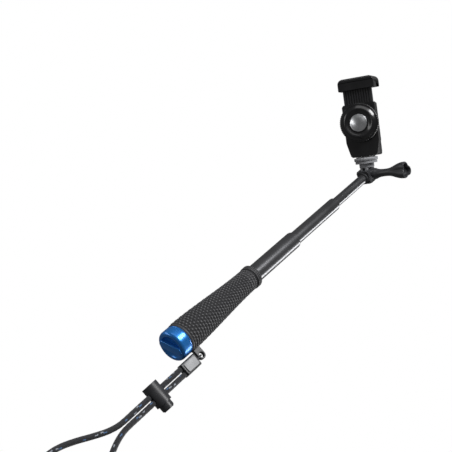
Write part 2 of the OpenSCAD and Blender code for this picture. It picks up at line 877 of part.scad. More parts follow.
// One closed tube swept along points in X and Z
module sweep(points, d, sides) {
  last = len(points) - 1;
  rings = [
    for (i = [0 : last])
      let (
        step = points[min(i + 1, last)] - points[max(i - 1, 0)],
        side = [-step[1], step[0]] / norm(step)
      )
      for (k = [0 : sides - 1])
        let (a = 360 * (k + 0.5) / sides)
        [points[i][0] + side[0] * d / 2 * cos(a), d / 2 * sin(a), points[i][1] + side[1] * d / 2 * cos(a)]
  ];
  walls = [
    for (i = [0 : last - 1], k = [0 : sides - 1])
      let (a = i * sides + k, b = i * sides + (k + 1) % sides)
      [a, b, b + sides, a + sides]
  ];
  start = [for (k = [sides - 1 : -1 : 0]) k];
  end = [for (k = [0 : sides - 1]) last * sides + k];
  polyhedron(rings, concat(walls, [start, end]));
}

module lanyard_cord() {
  color([0.15, 0.18, 0.25]) lanyard_place() translate([lanyard_r, 0, cord_top])
    sweep(cord_route, cord_d, cord_sides);
}

// ---- Cord lock: the barrel lies across the two strands, along X ----

module strand_slot(x0, x1) {
  translate([(x0 + x1) / 2, 0, -barrel_d]) linear_extrude(height = 2 * barrel_d)
    rounded_rect(x1 - x0, cord_d + 0.9, (cord_d + 0.9) / 2 - 0.01);
}

module lock_barrel() {
  color([0.1, 0.1, 0.11]) lock_place() difference() {
    rod_x(barrel_d, barrel_in, barrel_out);
    rod_x(plunger_d + 2 * running, cavity_in, barrel_out + through);
    strand_slot(-slot_half, slot_half);
  }
}

module lock_plunger() {
  inner_end = -slot_half - 1.2;
  color([0.16, 0.16, 0.17]) lock_place() difference() {
    union() {
      rod_x(plunger_d, inner_end, barrel_out + 5);
      rod_x(plunger_d - 1.6, barrel_out + 5, barrel_out + 6);
    }
    strand_slot(-slot_half, slot_half + plunger_travel);
  }
}

module lock_spring() {
  wire = 0.4;
  color("silver") lock_place() translate([cavity_in, 0, 0]) rotate([0, 90, 0])
    wire_ring(3.5, wire, wire / 2);
}

grip_core();
grip_sleeve();
grip_front_rim();
outer_tube();
outer_bush();
cap_insert();
lanyard_eyelet();
end_cap();
cap_gasket();
mid_collet();
mid_cam();
mid_tube();
mid_bush();
inner_collet();
inner_cam();
inner_tube();
pole_head();
head_pin();
captive_nut();
thumb_knob();
thumb_bolt();
thumb_washer();
adapter_fork();
tripod_stud();
lock_ring();
ring_face();
clamp_back();
clamp_front();
phone_pad();
lower_jaw();
lower_jaw_pad();
thread_insert();
clamp_screws();
jaw_arm();
upper_jaw();
upper_jaw_pad();
jaw_rack();
knob_dish();
knob_rim();
pinion();
knob_screw();
release_button();
button_spring();
anchor_loop();
crimp_block();
crimp_plate();
lanyard_cord();
lock_barrel();
lock_spring();
lock_plunger();
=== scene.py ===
"""Looks for the selfie stick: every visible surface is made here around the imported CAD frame."""
import math

import bmesh
import bpy
from mathutils import Matrix, Vector
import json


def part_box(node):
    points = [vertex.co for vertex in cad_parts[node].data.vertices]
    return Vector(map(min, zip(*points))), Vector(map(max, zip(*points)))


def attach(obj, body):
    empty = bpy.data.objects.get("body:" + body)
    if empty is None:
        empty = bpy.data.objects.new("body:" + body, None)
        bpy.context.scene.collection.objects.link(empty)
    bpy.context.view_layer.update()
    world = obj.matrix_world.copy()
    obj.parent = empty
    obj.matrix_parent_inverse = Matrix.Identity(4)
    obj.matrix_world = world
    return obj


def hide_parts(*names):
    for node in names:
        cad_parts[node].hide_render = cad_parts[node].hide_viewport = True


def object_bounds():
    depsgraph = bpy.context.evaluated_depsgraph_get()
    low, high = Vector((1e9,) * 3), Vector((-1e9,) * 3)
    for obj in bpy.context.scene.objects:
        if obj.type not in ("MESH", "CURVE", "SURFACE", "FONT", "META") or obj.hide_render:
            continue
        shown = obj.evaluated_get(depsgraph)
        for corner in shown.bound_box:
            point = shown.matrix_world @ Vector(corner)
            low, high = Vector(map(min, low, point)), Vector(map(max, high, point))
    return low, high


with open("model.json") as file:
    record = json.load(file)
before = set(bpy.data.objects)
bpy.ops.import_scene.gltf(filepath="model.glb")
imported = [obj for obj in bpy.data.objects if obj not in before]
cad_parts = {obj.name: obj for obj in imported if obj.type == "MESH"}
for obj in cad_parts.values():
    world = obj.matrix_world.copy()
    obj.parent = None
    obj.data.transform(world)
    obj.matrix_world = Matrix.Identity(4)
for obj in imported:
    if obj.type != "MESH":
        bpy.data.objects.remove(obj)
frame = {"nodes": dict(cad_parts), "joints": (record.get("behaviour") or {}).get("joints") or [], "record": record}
cad_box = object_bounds()

# ---------------------------------------------------------------- the frame's own facts

MM = 0.001
NODES = frame["nodes"]
RECORD = frame["record"]
JOINTS = {j["name"]: j for j in frame["joints"]}
BODY_OF = {n: body for body, names in RECORD["behaviour"]["bodies"].items() for n in names}
SLOT_OF = {s["node"]: s["material_slot"] for s in RECORD["subparts"]}

KNUCKLE = Vector(JOINTS["knuckle_tilt"]["pos_m"])
CLAMP_UP = Vector(JOINTS["jaw_slide"]["axis"]).normalized()
CLAMP_BACK = Vector(JOINTS["knob_turn"]["axis"]).normalized()
CLAMP_ACROSS = (-CLAMP_BACK).cross(CLAMP_UP)
POLE_UP = Vector((0, 0, 1))
KNOB = Vector(JOINTS["knob_turn"]["pos_m"])
LANYARD_OUT = -Vector(JOINTS["plunger_press"]["axis"]).normalized()
LANYARD_SIDE = POLE_UP.cross(LANYARD_OUT)


def axes(x, y, z, origin):
    """The matrix that carries a piece drawn along x, y and z to its place in the frame."""
    m = Matrix((x, y, z)).transposed().to_4x4()
    m.translation = origin
    return m


CLAMP = axes(CLAMP_ACROSS, -CLAMP_BACK, CLAMP_UP, KNUCKLE)
KNOB_FRAME = axes(CLAMP_ACROSS, CLAMP_UP, CLAMP_BACK, KNOB)
UPRIGHT = Matrix.Identity(4)


def span(node, direction, origin=Vector()):
    """How far a node reaches from an origin along a direction: lowest and highest, in mm."""
    reach = [v.co.dot(direction) for v in NODES[node].data.vertices]
    start = origin.dot(direction) / MM
    return min(reach) / MM - start, max(reach) / MM - start


def outer_profile(name):
    """The greatest radius of a turned CAD node at each height, in mm."""
    rows = {}
    for v in NODES[name].data.vertices:
        z = round(v.co.z / MM, 2)
        rows[z] = max(rows.get(z, 0), math.hypot(v.co.x, v.co.y) / MM)
    return sorted(rows.items())


def outer_radius(name):
    """The greatest radius of a turned CAD node, in mm."""
    return max(radius for _, radius in outer_profile(name))


# ---------------------------------------------------------------- mesh builders


def smooth_step(x):
    """Rises from 0 to 1 as x does, level at both ends."""
    x = min(1, max(0, x))
    return x * x * (3 - 2 * x)


def add_object(name, mesh):
    """A mesh as an object in the scene."""
    obj = bpy.data.objects.new(name, mesh)
    bpy.context.scene.collection.objects.link(obj)
    return obj


def shade_smooth(mesh, angle):
    """Smooth shading with the creases sharper than angle kept."""
    bm = bmesh.new()
    bm.from_mesh(mesh)
    for face in bm.faces:
        face.smooth = True
    for edge in bm.edges:
        edge.smooth = len(edge.link_faces) == 2 and edge.calc_face_angle(0) < math.radians(angle)
    bm.to_mesh(mesh)
    bm.free()


def from_rings(name, rings, place=UPRIGHT, closed=False, angle=32):
    """Skins rings of points, each a list of (x, y, z) in mm; closed joins the last ring to the first."""
    count = len(rings[0])
    verts = [Vector(p) * MM for ring in rings for p in ring]
    faces = []
    pairs = len(rings) if closed else len(rings) - 1
    for i in range(pairs):
        a, b = i * count, (i + 1) % len(rings) * count
        for k in range(count):
            n = (k + 1) % count
            faces.append((a + k, a + n, b + n, b + k))
    if not closed:
        faces.append(tuple(reversed(range(count))))
        faces.append(tuple(range((len(rings) - 1) * count, len(rings) * count)))
    mesh = bpy.data.meshes.new(name)
    mesh.from_pydata(verts, [], faces)
    mesh.transform(place)
    mesh.validate()
    bm = bmesh.new()
    bm.from_mesh(mesh)
    bmesh.ops.remove_doubles(bm, verts=bm.verts, dist=1e-7)
    bmesh.ops.recalc_face_normals(bm, faces=bm.faces)
    bm.to_mesh(mesh)
    bm.free()
    shade_smooth(mesh, angle)
    return add_object(name, mesh)


def circle_ring(r, z, count):
    """Points of a level circle about the axis."""
    turn = 2 * math.pi / count
    return [(r * math.cos(k * turn), r * math.sin(k * turn), z) for k in range(count)]


def lathe(name, profile, place=UPRIGHT, count=160, closed=False):
    """Turns a profile of (radius, height) in mm round the axis."""
    rings = [circle_ring(max(r, 0.001), z, count) for r, z in profile]
    return from_rings(name, rings, place, closed=closed, angle=24)


def arc(cx, cy, r, start, end, steps):
    """Points on an arc, angles in degrees."""
    angles = [math.radians(start + (end - start) * k / steps) for k in range(steps + 1)]
    return [(cx + r * math.cos(a), cy + r * math.sin(a)) for a in angles]


def rounded_outline(w, h, r):
    """A rounded rectangle about the origin."""
    x, y = w / 2 - r, h / 2 - r
    corners = [(x, y, 0), (-x, y, 90), (-x, -y, 180), (x, -y, 270)]
    return [p for cx, cy, start in corners for p in arc(cx, cy, r, start, start + 90, 6)]


def pillow(name, w, h, r, thick, edge, place):
    """A rounded block drawn in X and Y and rising along Z, with its top edge rounded by edge."""
    steps = 5
    rings = [[(x, y, 0) for x, y in rounded_outline(w, h, r)]]
    for k in range(steps + 1):
        a = math.radians(90 * k / steps)
        inset = edge * (1 - math.cos(a))
        z = thick - edge + edge * math.sin(a)
        outline = rounded_outline(w - 2 * inset, h - 2 * inset, max(r - inset, 0.05))
        rings.append([(x, y, z) for x, y in outline])
    return from_rings(name, rings, place, angle=50)


def softened(node, width):
    """A copy of a CAD node's surface with its edges rounded by width, in mm."""
    merge_within, flat_within, crease = 2e-6, 0.6, 28
    bm = bmesh.new()
    bm.from_mesh(NODES[node].data)
    bmesh.ops.remove_doubles(bm, verts=bm.verts, dist=merge_within)
    bmesh.ops.dissolve_limit(bm, angle_limit=math.radians(flat_within), verts=bm.verts, edges=bm.edges)
    mesh = bpy.data.meshes.new(node + "_finish")
    bm.to_mesh(mesh)
    bm.free()
    if "custom_normal" in mesh.attributes:
        mesh.attributes.remove(mesh.attributes["custom_normal"])
    mesh.materials.clear()
    shade_smooth(mesh, crease)
    obj = add_object(mesh.name, mesh)
    bevel = obj.modifiers.new("edges", "BEVEL")
    bevel.width = width * MM
    bevel.segments = 3
    bevel.limit_method = "ANGLE"
    bevel.angle_limit = math.radians(crease)
    bevel.harden_normals = True
    return obj


def dress(piece, body, material):
    """A piece rides on a body, with a material."""
    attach(piece, body)
    piece.data.materials.clear()
    piece.data.materials.append(material)


def fit(piece, node, material):
    """The piece stands for a CAD node: it rides on its body, with a material."""
    dress(piece, BODY_OF[node], material)
    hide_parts(node)
    return piece


# ---------------------------------------------------------------- camera, set as the photograph was taken

# The photograph's right side and the way back to its camera, in the frame.
PHOTO_RIGHT = Vector((0.719, 0.356, 0.597)).normalized()
PHOTO_BACK = Vector((0.693, -0.305, -0.653))
CAMERA_FROM_CAP = Vector((0.5324, -0.2925, -0.3899))
LENS = 65.3
# A last small turn of the camera, up and to the right, in radians each way.
AIM_TRIM = 0.0043


def make_camera():
    """A little behind and below the end cap, looking up along the pole."""
    back = (PHOTO_BACK - PHOTO_RIGHT * PHOTO_BACK.dot(PHOTO_RIGHT)).normalized()
    up = back.cross(PHOTO_RIGHT)
    back = (back - (PHOTO_RIGHT + up) * AIM_TRIM).normalized()
    right = up.cross(back).normalized()
    up = back.cross(right)
    cap_face = Vector((0, 0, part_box("end_cap")[0].z))
    data = bpy.data.cameras.new("camera")
    data.lens = LENS
    data.sensor_width = 36
    data.clip_start = 0.05
    data.clip_end = 20
    camera = bpy.data.objects.new("camera", data)
    bpy.context.scene.collection.objects.link(camera)
    camera.matrix_world = axes(right, up, back, cap_face + CAMERA_FROM_CAP)
    bpy.context.scene.camera = camera
    return camera


# ---------------------------------------------------------------- the lanyard's cord and its anchor loop

CORD_D = 5.0
STRANDS, BRAID_PITCH, CORD_SIDES = 8, 5.2, 40
# One side of the hanging loop: (outwards, upwards) in mm from the foot of the crimp block.
CORD_HALF = [
    (2.8, 0), (2.8, -12), (2.8, -24), (2.8, -36), (2.8, -48), (2.8, -60), (2.8, -72),
    (3.4, -80), (6, -90), (11, -102), (16.5, -114), (21, -126), (23, -137), (22, -148),
    (17, -157), (9, -163),
]
CORD_BOTTOM = -165


def smooth_path(points, per_span):
    """A Catmull-Rom curve through the points."""
    ends = [points[0] * 2 - points[1]] + points + [points[-1] * 2 - points[-2]]
    path = []
    for i in range(1, len(ends) - 2):
        p0, p1, p2, p3 = ends[i - 1 : i + 3]
        square = 2 * p0 - 5 * p1 + 4 * p2 - p3
        cube = 3 * p1 - p0 - 3 * p2 + p3
        for k in range(per_span):
            t = k / per_span
            path.append(0.5 * (2 * p1 + (p2 - p0) * t + square * t**2 + cube * t**3))
    return path + [points[-1]]


def path_length(path):
    """The length of a line of points."""
    return sum((b - a).length for a, b in zip(path, path[1:]))


def even_path(path, step):
    """The same path with points a step apart."""
    total = path_length(path)
    count = round(total / step)
    out, walked, i = [path[0]], 0.0, 0
    for k in range(1, count):
        want = total * k / count
        while walked + (path[i + 1] - path[i]).length < want:
            walked += (path[i + 1] - path[i]).length
            i += 1
        out.append(path[i].lerp(path[i + 1], (want - walked) / (path[i + 1] - path[i]).length))
    return out + [path[-1]]


def braided_tube(name, path, radius, across, strands, pitch, relief, count):
    """A tube along a path whose surface is a diagonal braid. The loop lies in a plane square to across."""
    rings = []
    walked = 0.0
    for i, p in enumerate(path):
        if i:
            walked += (p - path[i - 1]).length
        ahead = (path[min(i + 1, len(path) - 1)] - path[max(i - 1, 0)]).normalized()
        side = ahead.cross(across).normalized()
        ring = []
        for k in range(count):
            a = 2 * math.pi * k / count
            one = math.cos(strands * a + 2 * math.pi * walked / pitch)
            two = math.cos(strands * a - 2 * math.pi * walked / pitch)
            r = radius + relief * (0.5 * max(one, two) - 0.5)
            ring.append((p + (side * math.cos(a) + across * math.sin(a)) * r) / MM)
        rings.append(ring)
    return from_rings(name, rings, angle=75)


def paint_yarn(cord, path):
    """Gives each strand of the braid its colour: mostly black, with short pale and blue flecks."""
    black, blue, white = (0.020, 0.021, 0.025, 1), (0.10, 0.22, 0.44, 1), (0.42, 0.46, 0.52, 1)
    fleck = {(True, 0, 0): blue, (True, 0, 1): white, (False, 3, 3): white, (True, 4, 2): blue}
    pitch = BRAID_PITCH * MM
    layer = cord.data.color_attributes.new("yarn", "FLOAT_COLOR", "POINT")
    walked = 0.0
    for i, p in enumerate(path):
        if i:
            walked += (p - path[i - 1]).length
        shown = int(walked / pitch * 2) % 5
        for k in range(CORD_SIDES):
            turn = STRANDS * k / CORD_SIDES
            one, two = turn + walked / pitch, turn - walked / pitch
            top_one = math.cos(2 * math.pi * one) > math.cos(2 * math.pi * two)
            strand = math.floor((one if top_one else two) + 0.5) % STRANDS
            layer.data[i * CORD_SIDES + k].color = fleck.get((top_one, strand, shown), black)


def make_cord(material):
    """The lanyard's loop, hanging from the crimp block."""
    box_low, box_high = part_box("crimp_block")
    middle = (box_low + box_high) / 2
    top = Vector((middle.x, middle.y, box_low.z))
    half = [top + LANYARD_OUT * x * MM + Vector((0, 0, z * MM)) for x, z in CORD_HALF]
    other = [top - LANYARD_OUT * x * MM + Vector((0, 0, z * MM)) for x, z in CORD_HALF]
    bottom = top + Vector((0, 0, CORD_BOTTOM * MM))
    path = even_path(smooth_path(other + [bottom] + half[::-1], 12), 0.6 * MM)
    pitch, relief = BRAID_PITCH * MM, 0.32 * MM
    cord = braided_tube(
        "lanyard_cord_braid", path, CORD_D / 2 * MM, LANYARD_SIDE, STRANDS, pitch, relief, CORD_SIDES
    )
    fit(cord, "lanyard_cord", material)
    paint_yarn(cord, path)
    return cord, path


def make_anchor_loop(material):
    """The thin loop between the eyelet and the crimp."""
    low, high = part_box("anchor_loop")
    middle = (low + high) / 2
    half, thread_r = 3.1, 0.9
    foot, top = low.z / MM, high.z / MM - thread_r
    route = [(half, foot), (half, top - half - 1.5)]
    route += arc(0, top - half, half, 0, 180, 12)
    route += [(-half, top - half - 1.5), (-half, foot)]
    points = [Vector((middle.x, middle.y, z * MM)) + LANYARD_SIDE * y * MM for y, z in route]
    path = even_path(smooth_path(points, 8), 0.3 * MM)
    loop = braided_tube("anchor_loop_cord", path, thread_r * MM, LANYARD_OUT, 4, 2.0 * MM, 0.14 * MM, 16)
    layer = loop.data.color_attributes.new("yarn", "FLOAT_COLOR", "POINT")
    for item in layer.data:
        item.color = (0.03, 0.031, 0.036, 1)
    return fit(loop, "anchor_loop", material)


# ---------------------------------------------------------------- materials


def shader(name, color, rough, metal=0.0, coat=0.0):
    """A Principled material; what is the same all over is set on the shader's own sockets."""
    mat = bpy.data.materials.new(name)
    mat.use_nodes = True
    bsdf = mat.node_tree.nodes["Principled BSDF"]
    bsdf.inputs["Base Color"].default_value = (*color, 1)
    bsdf.inputs["Roughness"].default_value = rough
    bsdf.inputs["Metallic"].default_value = metal
    bsdf.inputs["Coat Weight"].default_value = coat
    bsdf.inputs["Coat Roughness"].default_value = 0.06
    return mat, mat.node_tree, bsdf


def node(tree, kind, **values):
    """A shader node with its inputs, or else its own settings, given by name."""
    made = tree.nodes.new(kind)
    for key, value in values.items():
        if key in made.inputs:
            made.inputs[key].default_value = value
        else:
            setattr(made, key, value)
    return made


def noise_at(tree, size, stretch=(1, 1, 1), detail=3.0):
    """Noise whose grains are size mm across, stretched along the axes."""
    coords = node(tree, "ShaderNodeTexCoord")
    mapping = node(tree, "ShaderNodeMapping", Scale=tuple(1 / (size * MM * s) for s in stretch))
    noise = node(tree, "ShaderNodeTexNoise", Scale=1.0, Detail=detail)
    tree.links.new(coords.outputs["Object"], mapping.inputs["Vector"])
    tree.links.new(mapping.outputs["Vector"], noise.inputs["Vector"])
    return noise.outputs["Fac"]


def rings_at(tree, size):
    """Fine turned lines: noise along the distance from the pole's axis."""
    coords = node(tree, "ShaderNodeTexCoord")
    flat = node(tree, "ShaderNodeVectorMath", operation="MULTIPLY")
    flat.inputs[1].default_value = (1, 1, 0)
    length = node(tree, "ShaderNodeVectorMath", operation="LENGTH")
    noise = node(tree, "ShaderNodeTexNoise", noise_dimensions="1D", Scale=1 / (size * MM), Detail=4.0)
    tree.links.new(coords.outputs["Object"], flat.inputs[0])
    tree.links.new(flat.outputs["Vector"], length.inputs[0])
    tree.links.new(length.outputs["Value"], noise.inputs["W"])
    return noise.outputs["Fac"]


def remap(tree, value, low, high, start=0.3, end=0.7):
    """Carries values from start to end over to low to high."""
    ramp = node(tree, "ShaderNodeMapRange")
    ramp.inputs["From Min"].default_value = start
    ramp.inputs["From Max"].default_value = end
    ramp.inputs["To Min"].default_value = low
    ramp.inputs["To Max"].default_value = high
    tree.links.new(value, ramp.inputs["Value"])
    return ramp.outputs["Result"]


def mix_colors(tree, factor, one, two):
    """A colour between two fixed ones, by a factor."""
    mix = node(tree, "ShaderNodeMix", data_type="RGBA")
    mix.inputs[6].default_value = (*one, 1)
    mix.inputs[7].default_value = (*two, 1)
    tree.links.new(factor, mix.inputs["Factor"])
    return mix.outputs[2]


def add_bumps(tree, bsdf, layers):
    """Chains bumps; each layer is (height, depth in mm)."""
    normal = None
    for height, depth in layers:
        bump = node(tree, "ShaderNodeBump", Strength=1.0, Distance=depth * MM)
        tree.links.new(height, bump.inputs["Height"])
        if normal:
            tree.links.new(normal, bump.inputs["Normal"])
        normal = bump.outputs["Normal"]
    tree.links.new(normal, bsdf.inputs["Normal"])


def finish_of(name, color, rough, metal=0.0, coat=0.0, grain=0.3, depth=0.01, vary=0.12, patch=9.0,
              rough_vary=0.08, stretch=(1, 1, 1)):
    """A solid finish: fine grain in the surface, and slow patches in its colour and roughness."""
    mat, tree, bsdf = shader(name, color, rough, metal, coat)
    patches = noise_at(tree, patch, detail=4.0)
    fine = noise_at(tree, grain, stretch)
    shade = remap(tree, patches, 0.0, 1.0)
    darker = tuple(c * (1 - vary) for c in color)
    lighter = tuple(min(1, c * (1 + vary)) for c in color)
    tree.links.new(mix_colors(tree, shade, darker, lighter), bsdf.inputs["Base Color"])
    tree.links.new(remap(tree, patches, rough - rough_vary, rough + rough_vary), bsdf.inputs["Roughness"])
    add_bumps(tree, bsdf, [(fine, depth)])
    return mat


def cap_finish():
    """Bright blue anodised metal with fine turned lines."""
    deep, bright = (0.016, 0.17, 0.56), (0.024, 0.24, 0.70)
    mat, tree, bsdf = shader("cap_blue", deep, 0.28, metal=0.5, coat=0.4)
    lines = rings_at(tree, 0.25)
    patches = noise_at(tree, 6, detail=4.0)
    tone = remap(tree, lines, 0.0, 1.0)
    tree.links.new(mix_colors(tree, tone, deep, bright), bsdf.inputs["Base Color"])
    tree.links.new(remap(tree, patches, 0.22, 0.36), bsdf.inputs["Roughness"])
    add_bumps(tree, bsdf, [(lines, 0.0015)])
    return mat


def cord_finish():
    """Braided yarn: its colour is painted on the points, with a fuzz of fine fibres."""
    mat, tree, bsdf = shader("cord_weave", (0.03, 0.03, 0.035), 0.8)
    bsdf.inputs["Sheen Weight"].default_value = 0.35
    bsdf.inputs["Sheen Roughness"].default_value = 0.5
    yarn = node(tree, "ShaderNodeAttribute", attribute_name="yarn")
    fuzz = noise_at(tree, 0.35, (1, 1, 3), detail=5.0)
    mix = node(tree, "ShaderNodeMix", data_type="RGBA", blend_type="MULTIPLY")
    mix.inputs["Factor"].default_value = 1.0
    shade = mix_colors(tree, remap(tree, fuzz, 0, 1), (0.65, 0.65, 0.65), (1, 1, 1))
    tree.links.new(yarn.outputs["Color"], mix.inputs[6])
    tree.links.new(shade, mix.inputs[7])
    tree.links.new(mix.outputs[2], bsdf.inputs["Base Color"])
    add_bumps(tree, bsdf, [(fuzz, 0.05)])
    return mat


def grip_finish():
    """Moulded rubber: dull in the hollows, and polished by hands on the tips of the knobs; its colour is painted
    shade, dark in the hollows and light on the tips.
    """
    mat, tree, bsdf = shader("grip_rubber", (0.04, 0.04, 0.043), 0.5)
    bsdf.inputs["Specular IOR Level"].default_value = 0.45
    relief = node(tree, "ShaderNodeAttribute", attribute_name="relief").outputs["Fac"]
    # Painted shade: by the relief, the colour goes dark in the hollows and light on the knobs' tips.
    color = mix_colors(tree, relief, (0.016, 0.016, 0.018), (0.085, 0.085, 0.09))
    tree.links.new(color, bsdf.inputs["Base Color"])
    tree.links.new(remap(tree, relief, 0.8, 0.36, 0.1, 0.9), bsdf.inputs["Roughness"])
    add_bumps(tree, bsdf, [(noise_at(tree, 0.3), 0.006)])
    return mat


# Plain finishes: what finish_of takes, by material.
FINISHES = {
    "black_plastic": {"color": (0.032, 0.033, 0.036), "rough": 0.40, "grain": 0.22, "depth": 0.008},
    "anodised_tube": {"color": (0.15, 0.152, 0.160), "rough": 0.27, "metal": 0.85, "coat": 0.1,
                      "grain": 0.18, "depth": 0.0004, "vary": 0.08, "patch": 30, "rough_vary": 0.05,
                      "stretch": (1, 1, 60)},
    "bush_plastic": {"color": (0.018, 0.018, 0.019), "rough": 0.5},
    "rim_rubber": {"color": (0.040, 0.040, 0.043), "rough": 0.5, "depth": 0.006},
    "brass": {"color": (0.70, 0.50, 0.22), "rough": 0.3, "metal": 1.0, "depth": 0.006},
    "seal_rubber": {"color": (0.022, 0.022, 0.023), "rough": 0.78, "depth": 0.03, "vary": 0.2},
    "collet_plastic": {"color": (0.66, 0.65, 0.60), "rough": 0.5},
    "steel": {"color": (0.62, 0.62, 0.64), "rough": 0.26, "metal": 1.0, "grain": 0.2, "depth": 0.004},
    "adapter_grey": {"color": (0.26, 0.265, 0.28), "rough": 0.42, "grain": 0.25, "depth": 0.012,
                     "vary": 0.06},
    "clamp_black": {"color": (0.007, 0.007, 0.008), "rough": 0.26, "coat": 0.35, "grain": 0.6,
                    "depth": 0.002, "vary": 0.3, "patch": 14, "rough_vary": 0.06},
    # A lighter copy of the clamp black: painted highlight standing in for light caught on the arm's ribs.
    "arm_black_painted_highlight": {"color": (0.020, 0.020, 0.022), "rough": 0.34, "coat": 0.1, "depth": 0.002},
    "jaw_pad": {"color": (0.50, 0.51, 0.53), "rough": 0.66, "depth": 0.02, "vary": 0.08},
    "button_silver": {"color": (0.72, 0.73, 0.75), "rough": 0.3, "metal": 1.0, "grain": 0.12,
                      "depth": 0.004, "vary": 0.05},
    "crimp_grey": {"color": (0.27, 0.275, 0.285), "rough": 0.4, "vary": 0.05},
}


def make_materials():
    """Every material by its name; a name that is also a CAD slot stands for that slot."""
    made = {name: finish_of(name, **look) for name, look in FINISHES.items()}
    made.update(grip_rubber=grip_finish(), cap_blue=cap_finish(), cord_weave=cord_finish())
    return made


# ---------------------------------------------------------------- handle and cap


def make_grip(material):
    """The rubber sleeve, moulded with staggered rows of small knobs."""
    knobs_round, samples, pitch, height = 26, 9, 3.2, 1.05
    inner, rear_plain, end_plain, end_drop, plain_rise, plain_shade = 10.4, 2.4, 1.2, 0.6, 0.55, 0.4
    low, high = span("grip_sleeve", POLE_UP)
    widths = [r for z, r in outer_profile("grip_sleeve")]
    rear, front = widths[1], widths[-2]
    count = int((high - low) / (pitch / samples))
    around = knobs_round * samples
    rings, reliefs = [circle_ring(inner, low, around)], []
    for i in range(count + 1):
        z = low + (high - low) * i / count
        row, part = divmod((z - low - rear_plain) / pitch, 1)
        v = part - 0.5
        edge = min(z - low, high - z)
        base = rear + (front - rear) * smooth_step(i / count) - height
        base -= end_drop * (1 - smooth_step(edge / end_plain))
        studded = rear_plain < z - low < high - low - end_plain
        ring = []
        for k in range(around):
            u = (k / samples + 0.5 * (row % 2)) % 1 - 0.5
            rise = smooth_step((1.0 - 2 * math.hypot(u, v)) / 0.75) if studded else plain_rise
            reliefs.append(rise)
            a = 2 * math.pi * k / around
            r = base + height * rise
            ring.append((r * math.cos(a), r * math.sin(a), z))
        rings.append(ring)
    rings.append(circle_ring(inner, high, around))
    grip = from_rings("grip_rubber_sleeve", rings, closed=True, angle=70)
    # The relief of each point; the rubber's material also turns it into painted shade, dark in the hollows and
    # light on the tips.
    shades = [plain_shade] * around + reliefs + [plain_shade] * around
    layer = grip.data.color_attributes.new("relief", "FLOAT_COLOR", "POINT")
    for item, shade in zip(layer.data, shades):
        item.color = (shade, shade, shade, 1)
    fit(grip, "grip_sleeve", material)


def ribbed_ring(name, profile, ribs, depth, place, ribbed_above):
    """A turned ring, profile in mm; points beyond ribbed_above are pressed in between the ribs."""
    per_rib = 6
    count = ribs * per_rib
    rings = []
    for r, z in profile:
        ring = []
        for k in range(count):
            groove = smooth_step(abs((k / per_rib) % 1 - 0.5) * 4 - 0.9)
            used = r - depth * groove if r > ribbed_above else r
            a = 2 * math.pi * k / count
            ring.append((used * math.cos(a), used * math.sin(a), z))
        rings.append(ring)
    return from_rings(name, rings, place, closed=True, angle=60)


def make_front_rim(material):
    """The grip's front rim: three ribbed bands."""
    low, high = span("grip_front_rim", POLE_UP)
    r, bore = outer_radius("grip_front_rim"), 9.05
    profile = [(bore, low), (r - 0.9, low), (r - 0.2, low + 0.5)]
    for k in range(3):
        z = low + 0.8 + k * (high - low - 2.2) / 2
        profile += [(r + 0.1, z), (r + 0.1, z + 0.6), (r - 0.7, z + 0.9), (r - 0.7, z + 1.3)]
    profile = [p for p in profile if p[1] < high - 0.5]
    profile += [(r - 0.5, high - 0.4), (r - 1.2, high), (bore, high)]
    rim = ribbed_ring("grip_rim_ring", profile, 40, 0.35, UPRIGHT, r - 0.1)
    fit(rim, "grip_front_rim", material)


def make_cap(material):
    """The blue cap: a dished face inside a rounded rim, crossed by a raised turn-bar."""
    low, high = span("end_cap", POLE_UP)
    r, plug_r, groove, gap = outer_radius("end_cap"), 7, 0.25, 0.3
    wall_top = span("grip_sleeve", POLE_UP)[0] - gap
    face = low + 2.5
    profile = [(0, face + 0.9), (r * 0.5, face + 0.8), (r - 5.6, face + 0.4), (r - 4.6, face - 0.2)]
    profile += [(r - 4.1, face - 0.75), (r - 3.5, face - 0.95)] + arc(r - 2.9, face + 2.0, 2.9, 282, 360, 9)
    profile += [(r, wall_top - 2.0), (r - groove, wall_top - 1.8), (r - groove, wall_top - 1.4)]
    profile += [(r, wall_top - 1.2), (r - 0.4, wall_top), (plug_r, wall_top)]
    profile += [(plug_r, high - 0.5), (plug_r - 0.5, high), (0, high)]
    fit(lathe("end_cap_shell", profile), "end_cap", material)
    azimuth = bar_azimuth()
    along = Vector((math.cos(azimuth), math.sin(azimuth), 0))
    down = -POLE_UP
    foot = face + 1.2
    place = axes(along, down.cross(along), down, Vector((0, 0, foot * MM)))
    bar = pillow("end_cap_turn_bar", 2 * r - 5.4, 8.0, 3.8, foot - low, 1.0, place)
    dress(bar, "end_cap", material)


def bar_azimuth():
    """The turn-bar's direction, from the CAD cap's lowest points; of its two ends, the one towards +X."""
    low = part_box("end_cap")[0].z
    tip = max(
        (v.co for v in NODES["end_cap"].data.vertices if v.co.z < low + 0.2 * MM),
        key=lambda p: p.x**2 + p.y**2 + 0.001 * MM * p.x,
    )
    return math.atan2(tip.y, tip.x)


# ---------------------------------------------------------------- knuckle and thumb knob


